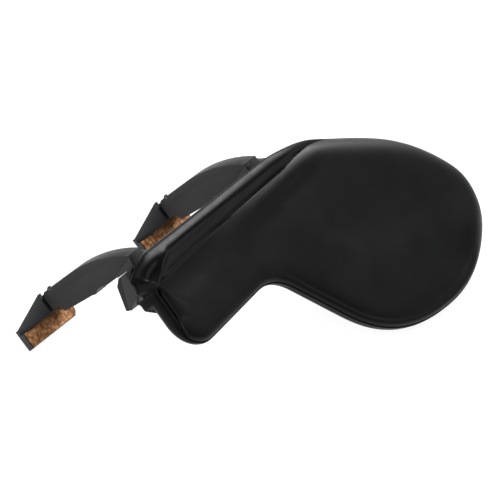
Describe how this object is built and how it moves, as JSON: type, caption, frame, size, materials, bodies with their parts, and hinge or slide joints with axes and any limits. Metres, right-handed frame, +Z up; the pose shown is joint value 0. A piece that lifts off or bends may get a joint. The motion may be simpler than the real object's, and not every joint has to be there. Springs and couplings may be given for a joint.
{
  "type": "violin shoulder rest",
  "caption": "Violin shoulder rest: a kidney-shaped padded plate on a tilting clamp whose sliding arms end in pivoting, cork-lined feet.",
  "frame": {"origin": "centre of the bounding box, on the surface the rest stands on", "axes": "+X along the clamp bar from the near arm to the far arm and the lobe, +Y from the lobe towards the feet, +Z up; it stands on the outer edges of its feet and on the edge of the lobe"},
  "size_m": [0.1778, 0.098, 0.0502],
  "materials": {
    "cushion": "soft matte skin",
    "shell": "satin",
    "clamp": "satin",
    "arm": "satin",
    "foot": "satin",
    "liner": "matte",
    "cork": "speckled cork, matte",
    "steel": "satin",
    "brass": "satin",
    "nylon": "matte"
  },
  "bodies": {
    "frame": {"hub_near": "clamp", "hub_far": "clamp", "spacer_sleeve": "clamp", "tilt_shaft": "steel", "tilt_nut": "steel", "tilt_washers": "steel", "jaw_liner_near": "liner", "jaw_liner_far": "liner", "lock_insert_near": "brass", "lock_insert_far": "brass", "lock_pad_near": "nylon", "lock_pad_far": "nylon"},
    "pad": {"pad_cushion": "cushion", "pad_shell": "shell", "tilt_ear_near": "clamp", "tilt_ear_far": "clamp", "ear_screws": "steel"},
    "arm_near": {"arm_near": "arm"},
    "arm_far": {"arm_far": "arm"},
    "foot_near": {"foot_near": "foot", "foot_pin_near": "steel", "cork_near": "cork"},
    "foot_far": {"foot_far": "foot", "foot_pin_far": "steel", "cork_far": "cork"},
    "lock_screw_near": {"lock_screw_near": "steel"},
    "lock_screw_far": {"lock_screw_far": "steel"},
    "tilt_knob": {"tilt_knob": "shell"}
  },
  "joints": [
    {"name": "pad_tilt", "type": "hinge", "parent": "frame", "child": "pad", "pos_m": [-0.03509, 0.01058, 0.041], "axis": [1, 0, 0], "range_deg": [-8, 3]},
    {"name": "arm_slide_near", "type": "slide", "parent": "frame", "child": "arm_near", "axis": [0, -0.554, 0.8325], "range_m": [-0.003, 0.004]},
    {"name": "foot_tilt_near", "type": "hinge", "parent": "arm_near", "child": "foot_near", "pos_m": [-0.07359, 0.04622, 0.0109], "axis": [1, 0, 0], "range_deg": [-8, 8]},
    {"name": "lock_screw_spin_near", "type": "hinge", "parent": "frame", "child": "lock_screw_near", "pos_m": [-0.06969, 0.0201, 0.0406], "axis": [1, 0, 0], "continuous": true},
    {"name": "arm_slide_far", "type": "slide", "parent": "frame", "child": "arm_far", "axis": [0, -0.554, 0.8325], "range_m": [-0.003, 0.004]},
    {"name": "foot_tilt_far", "type": "hinge", "parent": "arm_far", "child": "foot_far", "pos_m": [0.00401, 0.04622, 0.0109], "axis": [1, 0, 0], "range_deg": [-8, 8]},
    {"name": "lock_screw_spin_far", "type": "hinge", "parent": "frame", "child": "lock_screw_far", "pos_m": [0.00791, 0.0201, 0.0406], "axis": [1, 0, 0], "continuous": true},
    {"name": "tilt_knob_spin", "type": "hinge", "parent": "frame", "child": "tilt_knob", "pos_m": [0.01351, 0.01058, 0.041], "axis": [1, 0, 0], "continuous": true}
  ]
}
